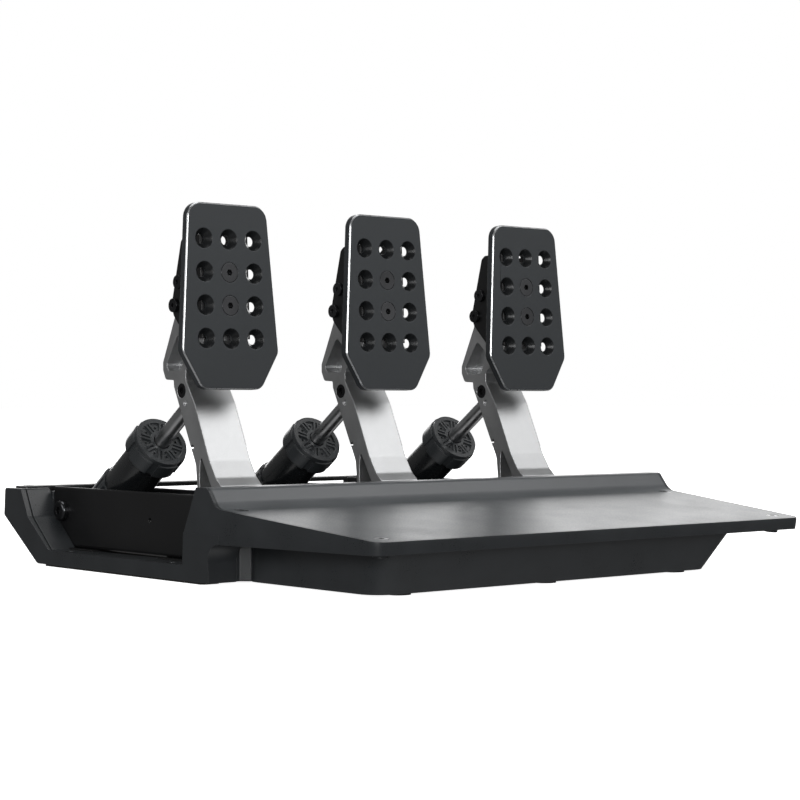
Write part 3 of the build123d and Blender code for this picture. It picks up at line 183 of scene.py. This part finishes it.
class PedalSetFinishes(bpy.types.PropertyGroup):
    """Colours and edge sizes of the pedal set."""

    shell_colour: bpy.props.FloatVectorProperty(
        name="Shell",
        description="Moulded heel rest and side frames",
        subtype="COLOR",
        default=(0.0247, 0.0273, 0.0298),
    )
    heel_colour: bpy.props.FloatVectorProperty(
        name="Heel plate",
        description="Powder coat of the heel plate",
        subtype="COLOR",
        default=(0.075, 0.0805, 0.0855),
    )
    sheet_colour: bpy.props.FloatVectorProperty(
        name="Channels",
        description="Powder coat of channels, beams and brackets",
        subtype="COLOR",
        default=(0.004, 0.0041, 0.0046),
    )
    arm_colour: bpy.props.FloatVectorProperty(
        name="Arms",
        description="Blasted aluminium of the pedal arms",
        subtype="COLOR",
        default=(0.5, 0.505, 0.51),
    )
    face_colour: bpy.props.FloatVectorProperty(
        name="Faces",
        description="Anodised face plates",
        subtype="COLOR",
        default=(0.0375, 0.0418, 0.0455),
    )
    edge_colour: bpy.props.FloatVectorProperty(
        name="Bare edges",
        description="Cut edges of the face plates",
        subtype="COLOR",
        default=(0.6, 0.61, 0.62),
    )
    tube_colour: bpy.props.FloatVectorProperty(
        name="Tubes",
        description="Glossy paint of the damper tubes",
        subtype="COLOR",
        default=(0.0085, 0.0095, 0.0105),
    )
    cap_colour: bpy.props.FloatVectorProperty(
        name="Caps",
        description="Moulded damper caps and preload rings",
        subtype="COLOR",
        default=(0.028, 0.031, 0.0335),
    )
    edge_round: bpy.props.FloatProperty(
        name="Edge rounding",
        description="Radius of the moulded and folded edges",
        subtype="DISTANCE",
        default=0.0009,
    )
    arm_edge: bpy.props.FloatProperty(
        name="Arm edges",
        description="Width of the arms' broken edges",
        subtype="DISTANCE",
        default=0.0012,
    )


def finishes():
    """The scene's colours and edge sizes."""
    return bpy.context.scene.pedal_set_finishes


def of_each_pedal(*parts):
    """Names of the nodes that every pedal has."""
    return [f"{pedal}_{part}" for pedal in pedals for part in parts]


def new_material(name):
    """An empty node material with its shader and output joined."""
    made = bpy.data.materials.new(name)
    made.use_nodes = True
    tree = made.node_tree
    tree.nodes.clear()
    output = tree.nodes.new("ShaderNodeOutputMaterial")
    shader = tree.nodes.new("ShaderNodeBsdfPrincipled")
    tree.links.new(shader.outputs["BSDF"], output.inputs["Surface"])
    return made, tree, shader


def noise(tree, scale, detail, stretch=(1, 1, 1), turn=(0, 0, 0)):
    """Noise in object space, stretched along the piece's axes."""
    place = tree.nodes.new("ShaderNodeTexCoord")
    mapping = tree.nodes.new("ShaderNodeMapping")
    mapping.inputs["Scale"].default_value = stretch
    mapping.inputs["Rotation"].default_value = turn
    texture = tree.nodes.new("ShaderNodeTexNoise")
    texture.inputs["Scale"].default_value = scale
    texture.inputs["Detail"].default_value = detail
    tree.links.new(place.outputs["Object"], mapping.inputs["Vector"])
    tree.links.new(mapping.outputs["Vector"], texture.inputs["Vector"])
    return texture.outputs["Fac"]


def ranged(tree, value, span, low, high):
    """A value of the span, mapped to run from low to high."""
    node = tree.nodes.new("ShaderNodeMapRange")
    node.inputs["From Min"].default_value = span[0]
    node.inputs["From Max"].default_value = span[1]
    node.inputs["To Min"].default_value = low
    node.inputs["To Max"].default_value = high
    tree.links.new(value, node.inputs["Value"])
    return node.outputs["Result"]


def edge_normal(tree, radius):
    """Normals that turn smoothly over plain edges."""
    node = tree.nodes.new("ShaderNodeBevel")
    node.samples = shader_bevel_samples
    node.inputs["Radius"].default_value = radius
    return node.outputs["Normal"]


def tinted(tree, colour, value, amount):
    """The colour, darkened and lightened by a value from 0 to 1."""
    mix = tree.nodes.new("ShaderNodeMix")
    mix.data_type = "RGBA"
    mix.inputs["A"].default_value = (*[part * (1 - amount) for part in colour], 1)
    mix.inputs["B"].default_value = (*[part * (1 + amount) for part in colour], 1)
    tree.links.new(value, mix.inputs["Factor"])
    return mix.outputs["Result"]


def grained(name, colour, roughness, metallic, grain_scale, grain_height, mottle=0.12, edge=None,
            stretch=(1, 1, 1), turn=(0, 0, 0), specular=0.5, coat=0.0):
    """A finish with fine grain, faint mottling, uneven roughness and softened edges."""
    made, tree, shader = new_material(name)
    cloud = noise(tree, cloud_scale, cloud_detail)
    grain = noise(tree, grain_scale, grain_detail, stretch, turn)
    tint = ranged(tree, cloud, noise_span, 0, 1)
    tree.links.new(tinted(tree, colour, tint, mottle), shader.inputs["Base Color"])
    broad = ranged(
        tree, cloud, noise_span, roughness - cloud_roughness, roughness + cloud_roughness
    )
    fine = ranged(tree, grain, noise_span, -grain_roughness, grain_roughness)
    rough = tree.nodes.new("ShaderNodeMath")
    rough.operation = "ADD"
    tree.links.new(broad, rough.inputs[0])
    tree.links.new(fine, rough.inputs[1])
    tree.links.new(rough.outputs["Value"], shader.inputs["Roughness"])
    bump = tree.nodes.new("ShaderNodeBump")
    bump.inputs["Strength"].default_value = 1.0
    bump.inputs["Distance"].default_value = grain_height
    tree.links.new(grain, bump.inputs["Height"])
    if edge:
        tree.links.new(edge_normal(tree, edge), bump.inputs["Normal"])
    tree.links.new(bump.outputs["Normal"], shader.inputs["Normal"])
    shader.inputs["Metallic"].default_value = metallic
    shader.inputs["Specular IOR Level"].default_value = specular
    shader.inputs["Coat Weight"].default_value = coat
    shader.inputs["Coat Roughness"].default_value = coat_roughness
    return made


def dress(made, *names):
    """Gives CAD nodes, or the pieces that stand for them, their finish."""
    for name in names:
        mesh = eased.get(name, nodes[name]).data
        mesh.materials.clear()
        mesh.materials.append(made)


def only(thing):
    """Leaves one object selected and active."""
    bpy.ops.object.select_all(action="DESELECT")
    thing.select_set(True)
    bpy.context.view_layer.objects.active = thing


def round_edges(piece, radius):
    """Bevels the sharp edges of a piece and shades it smooth up to them."""
    only(piece)
    bevel = piece.modifiers.new("Edges", "BEVEL")
    bevel.width = radius
    bevel.segments = bevel_segments
    bevel.limit_method = "ANGLE"
    bevel.angle_limit = crease_angle
    bevel.use_clamp_overlap = True
    bpy.ops.object.modifier_apply(modifier=bevel.name)
    bpy.ops.object.shade_smooth_by_angle(angle=crease_angle)
    weighted = piece.modifiers.new("FlatFaces", "WEIGHTED_NORMAL")
    weighted.keep_sharp = True
    bpy.ops.object.modifier_apply(modifier=weighted.name)


def ease(node, radius):
    """Stands a copy of a CAD node in its place, merged and with rounded edges."""
    source = nodes[node]
    only(source)
    bpy.ops.object.duplicate()
    piece = bpy.context.object
    for key in [key for key in piece.keys() if key.startswith("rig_")]:
        del piece[key]
    piece.name = "".join(word.capitalize() for word in node.split("_")) + "Eased"
    bpy.ops.object.mode_set(mode="EDIT")
    bpy.ops.mesh.select_all(action="SELECT")
    bpy.ops.mesh.remove_doubles(threshold=merge_distance)
    bpy.ops.mesh.dissolve_limited(angle_limit=flat_angle)
    bpy.ops.object.mode_set(mode="OBJECT")
    bpy.ops.mesh.customdata_custom_splitnormals_clear()
    round_edges(piece, radius)
    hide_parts(node)
    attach(piece, body_of(source)[0])
    eased[node] = piece
    return piece


def block(name, low, high):
    """A block between two corners, ready to be shaped in edit mode."""
    bpy.ops.object.select_all(action="DESELECT")
    middle = [(a + b) / 2 for a, b in zip(low, high)]
    bpy.ops.mesh.primitive_cube_add(size=1.0, location=middle)
    piece = bpy.context.object
    piece.name = name
    piece.scale = [b - a for a, b in zip(low, high)]
    bpy.ops.object.transform_apply(location=True, rotation=True, scale=True)
    return piece


def trim(piece, point, normal):
    """Cuts a piece by a plane and closes it, dropping what the normal points to."""
    only(piece)
    bpy.ops.object.mode_set(mode="EDIT")
    bpy.ops.mesh.select_all(action="SELECT")
    bpy.ops.mesh.bisect(plane_co=point, plane_no=normal, use_fill=True, clear_outer=True)
    bpy.ops.object.mode_set(mode="OBJECT")


class PEDALSET_OT_heel_rest(bpy.types.Operator):
    """Moulded heel rest and side frames with their sheet and pads"""

    bl_idname = "pedalset.heel_rest"
    bl_label = "Heel rest"

    def execute(self, context):
        look = finishes()
        for node in moulded_nodes:
            ease(node, look.edge_round)
        moulded = grained(
            "MouldedShell", look.shell_colour, roughness=0.33, metallic=0.0,
            grain_scale=1500, grain_height=0.00003, edge=look.edge_round / 2,
        )
        coated = grained(
            "HeelPlateCoat", look.heel_colour, roughness=0.36, metallic=0.0,
            grain_scale=1100, grain_height=0.00002, mottle=0.06, edge=look.edge_round / 2,
            specular=0.8,
        )
        rubber = grained(
            "PadRubber", pad_black, roughness=0.8, metallic=0.0,
            grain_scale=700, grain_height=0.00005,
        )
        dress(moulded, *moulded_nodes)
        dress(coated, "heel_plate")
        dress(rubber, "floor_pads")
        return {"FINISHED"}


def skirt_web(moulded, edge):
    """Web that carries the frame's arch on to the skirt, with a cove in its corner."""
    frame_low, frame_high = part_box("left_side_frame")
    shell_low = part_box("heel_rest_shell")[0]
    skirt_x = shell_low[0] + skirt_inset
    web_front = frame_low[1] + arch_depth
    web_rear = shell_low[1] + rear_wall_run - seat_gap
    bottom = frame_low[2] + seat_gap
    top = rim_bottom - seat_gap
    web = block(
        "SkirtWeb",
        (frame_high[0] + seat_gap, web_front, bottom),
        (skirt_x + web_lap, web_rear, top),
    )
    cove = block(
        "SkirtCove",
        (skirt_x - cove_run, web_front - cove_run, bottom),
        (skirt_x + cove_lap, web_front + seat_gap, top),
    )
    trim(cove, (skirt_x - cove_run / 2, web_front - cove_run / 2, bottom), (-1, -1, 0))
    only(web)
    cove.select_set(True)
    bpy.ops.object.join()
    round_edges(web, edge)
    web.data.materials.append(moulded)
    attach(web, "base")


def post_return(name, node, hand, moulded, edge):
    """Return of a rear post behind the channel; hand is 1 on the left and -1 on the right."""
    channel_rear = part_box("clutch_channel")[1][1]
    bar_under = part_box("rear_crossbar")[0][2]
    low_corner, high_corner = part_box(node)
    inner = high_corner[0] if hand > 0 else low_corner[0]
    sides = sorted((inner + hand * seat_gap, inner + hand * return_width))
    front = channel_rear + return_gap
    rear = high_corner[1]
    piece = block(
        name,
        (sides[0], front, low_corner[2]),
        (sides[1], rear - skin_inset, bar_under - seat_gap),
    )
    slant_foot = (sides[0], rear - slant_setback + skin_inset, low_corner[2])
    trim(piece, slant_foot, (0, slant_rise, -slant_setback))
    brow = (sides[0], rear - post_top_setback, high_corner[2])
    brow_normal = (0, post_top_rise - high_corner[2], post_knee_setback - post_top_setback)
    trim(piece, brow, brow_normal)
    round_edges(piece, edge)
    piece.data.materials.append(moulded)
    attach(piece, "base")


class PEDALSET_OT_webs(bpy.types.Operator):
    """Web that carries the arch on to the skirt, and the returns of the rear posts"""

    bl_idname = "pedalset.webs"
    bl_label = "Webs and returns"

    def execute(self, context):
        edge = finishes().edge_round
        moulded = bpy.data.materials["MouldedShell"]
        skirt_web(moulded, edge / 3)
        post_return("LeftPostReturn", "left_side_frame", 1, moulded, edge)
        post_return("RightPostReturn", "right_side_frame", -1, moulded, edge)
        return {"FINISHED"}


def flush_screws():
    """Crossbar screws with their heads flattened on to the bar."""
    screws = ease("crossbar_screws", screw_edge)
    bar_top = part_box("rear_crossbar")[1][2]
    only(screws)
    bpy.ops.object.mode_set(mode="EDIT")
    bpy.ops.mesh.select_all(action="DESELECT")
    bpy.ops.object.mode_set(mode="OBJECT")
    for corner in screws.data.vertices:
        corner.select = corner.co.z > bar_top
    bpy.ops.object.mode_set(mode="EDIT")
    bpy.ops.transform.resize(value=(1, 1, head_flattening), center_override=(0, 0, bar_top))
    bpy.ops.object.mode_set(mode="OBJECT")


class PEDALSET_OT_chassis(bpy.types.Operator):
    """Channels, beams, crossbar, brackets, axles and the screws"""

    bl_idname = "pedalset.chassis"
    bl_label = "Chassis"

    def execute(self, context):
        look = finishes()
        for node in of_each_pedal("channel"):
            ease(node, look.edge_round)
        ease("rear_crossbar", look.edge_round / 2)
        flush_screws()
        coated = grained(
            "SheetCoat", look.sheet_colour, roughness=0.38, metallic=0.0,
            grain_scale=900, grain_height=0.00002, edge=look.edge_round,
        )
        blackened = grained(
            "BlackScrew", screw_black, roughness=0.2, metallic=0.9,
            grain_scale=1800, grain_height=0.00001, mottle=0.3, edge=look.edge_round / 2,
        )
        ground = grained(
            "GroundSteel", ground_steel, roughness=0.25, metallic=1.0,
            grain_scale=300, grain_height=0.000004, stretch=(0.1, 1, 1),
        )
        dress(coated, "front_crossbeam", "rear_crossbeam", "rear_crossbar")
        dress(coated, *of_each_pedal("channel", "foot_bracket", "face_bracket"))
        dress(blackened, "heel_plate_screws", "crossbar_screws", "channel_screws", "channel_bolts")
        dress(blackened, *of_each_pedal("face_screws"))
        dress(ground, "hinge_axles", "foot_axles")
        return {"FINISHED"}


class PEDALSET_OT_arms(bpy.types.Operator):
    """Forged arms with their bushes and pins"""

    bl_idname = "pedalset.arms"
    bl_label = "Arms"

    def execute(self, context):
        look = finishes()
        for node in of_each_pedal("arm"):
            ease(node, look.arm_edge)
        blasted = grained(
            "BlastedArm", look.arm_colour, roughness=0.4, metallic=0.95,
            grain_scale=1300, grain_height=0.00006, mottle=0.09, edge=look.edge_round,
        )
        bronze = grained(
            "BushBronze", bush_bronze, roughness=0.35, metallic=1.0,
            grain_scale=900, grain_height=0.00001,
        )
        pinned = grained(
            "PinSteel", pin_black, roughness=0.3, metallic=0.9,
            grain_scale=900, grain_height=0.00001, edge=look.edge_round / 2,
        )
        dress(blasted, *of_each_pedal("arm"))
        dress(bronze, *of_each_pedal("hinge_bushes"))
        dress(pinned, *of_each_pedal("rod_pin"))
        return {"FINISHED"}


class PEDALSET_OT_faces(bpy.types.Operator):
    """Anodised face plates with bare outer bevels and painted shade in the sinks of their holes"""

    bl_idname = "pedalset.faces"
    bl_label = "Faces"

    def execute(self, context):
        look = finishes()
        anodised = grained(
            "AnodisedFace", look.face_colour, roughness=0.38, metallic=0.3,
            grain_scale=2200, grain_height=0.000012, mottle=0.04, edge=look.edge_round / 2,
        )
        bare = grained(
            "BareEdge", look.edge_colour, roughness=0.3, metallic=1.0,
            grain_scale=900, grain_height=0.000005, mottle=0.08,
        )
        # The countersinks get a darker copy of the face colour: painted shade in the recesses.
        painted_shade_colour = [part * sink_painted_shade for part in look.face_colour]
        painted_shade_finish = grained(
            "SinkPaintedShade", painted_shade_colour, roughness=0.3, metallic=0.3,
            grain_scale=1400, grain_height=0.00001,
        )
        bare_slot, painted_shade_slot = 1, 2
        for node in of_each_pedal("face_plate"):
            plate = ease(node, face_edge)
            dress(anodised, node)
            plate.data.materials.append(bare)
            plate.data.materials.append(painted_shade_finish)
            low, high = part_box(node)
            middle = (low[0] + high[0]) / 2
            for face in plate.data.polygons:
                centre = face.center
                beyond_holes = (
                    abs(centre.x - middle) > hole_reach
                    or centre.z < low[2] + face_foot
                    or centre.z > high[2] - face_brow
                )
                # Front-facing bevels beyond the holes are bare metal; those inside the holes' reach
                # get the painted shade.
                if bevel_normal[0] < -face.normal.y < bevel_normal[1]:
                    face.material_index = bare_slot if beyond_holes else painted_shade_slot
        return {"FINISHED"}


def rubber_stack(pedal):
    """Spring pads, which the piston squeezes towards the tube's foot in the real damper, eased and
    given a mesh of their own.
    """
    stack = ease(f"{pedal}_spring_stack", screw_edge)
    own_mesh(stack)


class PEDALSET_OT_dampers(bpy.types.Operator):
    """Damper tubes, caps, rings, rods and what they hold"""

    bl_idname = "pedalset.dampers"
    bl_label = "Dampers"

    def execute(self, context):
        look = finishes()
        gloss = grained(
            "TubePaint", look.tube_colour, roughness=0.27, metallic=0.0,
            grain_scale=260, grain_height=0.000008, mottle=0.05, specular=0.6, coat=0.4,
        )
        moulded = grained(
            "CapPlastic", look.cap_colour, roughness=0.3, metallic=0.0,
            grain_scale=1500, grain_height=0.00002, edge=look.edge_round,
        )
        rod = grained(
            "RodSteel", rod_steel, roughness=0.3, metallic=1.0,
            grain_scale=400, grain_height=0.000003, stretch=(1, 0.1, 1), turn=(damper_tilt, 0, 0),
        )
        nylon = grained(
            "PistonNylon", piston_nylon, roughness=0.45, metallic=0.0,
            grain_scale=900, grain_height=0.00001,
        )
        rubber = grained(
            "SpringRubber", spring_red, roughness=0.6, metallic=0.0,
            grain_scale=500, grain_height=0.00003,
        )
        for pedal in pedals:
            rubber_stack(pedal)
        dress(gloss, *of_each_pedal("tube"))
        dress(moulded, *of_each_pedal("cap", "preload_ring"))
        dress(rod, *of_each_pedal("rod"))
        dress(nylon, *of_each_pedal("piston"))
        dress(rubber, *of_each_pedal("spring_stack"))
        return {"FINISHED"}


class PEDALSET_OT_electronics(bpy.types.Operator):
    """Control box with its lid and board"""

    bl_idname = "pedalset.electronics"
    bl_label = "Electronics"

    def execute(self, context):
        cased = grained(
            "BoxPlastic", box_black, roughness=0.55, metallic=0.0,
            grain_scale=1300, grain_height=0.00004, edge=finishes().edge_round,
        )
        laminate = grained(
            "BoardLaminate", board_green, roughness=0.3, metallic=0.0,
            grain_scale=200, grain_height=0.00001, mottle=0.2,
        )
        dress(cased, "control_box", "control_box_lid")
        dress(laminate, "control_board")
        return {"FINISHED"}


def studio_world():
    """A world that looks white and lights the object softly, more so from the table."""
    world = bpy.data.worlds.new("Studio")
    world.use_nodes = True
    tree = world.node_tree
    tree.nodes.clear()
    path = tree.nodes.new("ShaderNodeLightPath")
    seen = tree.nodes.new("ShaderNodeBackground")
    seen.inputs["Color"].default_value = white
    lit = tree.nodes.new("ShaderNodeBackground")
    lit.inputs["Color"].default_value = white
    place = tree.nodes.new("ShaderNodeTexCoord")
    split = tree.nodes.new("ShaderNodeSeparateXYZ")
    tree.links.new(place.outputs["Generated"], split.inputs["Vector"])
    strength = ranged(tree, split.outputs["Z"], table_fall, table_brightness, room_brightness)
    tree.links.new(strength, lit.inputs["Strength"])
    mix = tree.nodes.new("ShaderNodeMixShader")
    output = tree.nodes.new("ShaderNodeOutputWorld")
    tree.links.new(path.outputs["Is Camera Ray"], mix.inputs["Fac"])
    tree.links.new(lit.outputs["Background"], mix.inputs[1])
    tree.links.new(seen.outputs["Background"], mix.inputs[2])
    tree.links.new(mix.outputs["Shader"], output.inputs["Surface"])
    return world


def pale_floor():
    """A floor that glows as pale as the room and isn't mirrored by the object."""
    bpy.ops.object.select_all(action="DESELECT")
    bpy.ops.mesh.primitive_grid_add(
        x_subdivisions=floor_cells, y_subdivisions=floor_cells, size=floor_size, location=(0, 0, 0)
    )
    floor = bpy.context.object
    floor.name = "StudioFloor"
    pale, _, shader = new_material("PaleFloor")
    shader.inputs["Roughness"].default_value = floor_roughness
    shader.inputs["Base Color"].default_value = floor_colour
    shader.inputs["Emission Color"].default_value = white
    shader.inputs["Emission Strength"].default_value = floor_glow
    floor.data.materials.append(pale)
    floor.visible_diffuse = False
    floor.visible_glossy = False


def softbox(name, place, width, height, brightness):
    """A rectangular light of even brightness that looks at the middle of the object."""
    data = bpy.data.lights.new(name, "AREA")
    data.shape = "RECTANGLE"
    data.size = width
    data.size_y = height
    data.energy = brightness * math.pi * width * height
    light = bpy.data.objects.new(name, data)
    bpy.context.scene.collection.objects.link(light)
    light.location = place
    sight = Vector(look_point) - Vector(place)
    light.rotation_euler = sight.to_track_quat("-Z", "Y").to_euler()
    light.visible_camera = False


def photo_camera():
    """The photo's camera."""
    data = bpy.data.cameras.new("PhotoCamera")
    data.lens = camera_lens
    data.sensor_width = camera_sensor
    camera = bpy.data.objects.new("PhotoCamera", data)
    bpy.context.scene.collection.objects.link(camera)
    camera.location = camera_place
    camera.rotation_euler = camera_turn
    return camera


class PEDALSET_OT_stage(bpy.types.Operator):
    """Pale floor, soft lights and the camera"""

    bl_idname = "pedalset.stage"
    bl_label = "Stage"

    def execute(self, context):
        scene = context.scene
        scene.view_settings.view_transform = "Standard"
        scene.view_settings.look = "None"
        scene.world = studio_world()
        pale_floor()
        for box in softboxes:
            softbox(*box)
        scene.camera = photo_camera()
        return {"FINISHED"}


class PEDALSET_PT_panel(bpy.types.Panel):
    """Lists the steps that dress the pedal set"""

    bl_idname = "PEDALSET_PT_panel"
    bl_label = "Pedal Set"
    bl_space_type = "VIEW_3D"
    bl_region_type = "UI"
    bl_category = "Pedal Set"

    def draw(self, context):
        look = context.scene.pedal_set_finishes
        for name in look.bl_rna.properties.keys():
            if name not in ("rna_type", "name"):
                self.layout.prop(look, name)
        for step in steps:
            self.layout.operator(step.bl_idname)


steps = (
    PEDALSET_OT_heel_rest,
    PEDALSET_OT_webs,
    PEDALSET_OT_chassis,
    PEDALSET_OT_arms,
    PEDALSET_OT_faces,
    PEDALSET_OT_dampers,
    PEDALSET_OT_electronics,
    PEDALSET_OT_stage,
)
classes = (PedalSetFinishes, *steps, PEDALSET_PT_panel)


def register():
    """Registers the classes and the scene's finishes."""
    for item in classes:
        bpy.utils.register_class(item)
    bpy.types.Scene.pedal_set_finishes = bpy.props.PointerProperty(type=PedalSetFinishes)


def unregister():
    """Takes back what register() added."""
    del bpy.types.Scene.pedal_set_finishes
    for item in reversed(classes):
        bpy.utils.unregister_class(item)


def main():
    """Runs the steps in order."""
    register()
    for step in steps:
        group, name = step.bl_idname.split(".")
        getattr(getattr(bpy.ops, group), name)()


if __name__ == "__main__":
    main()
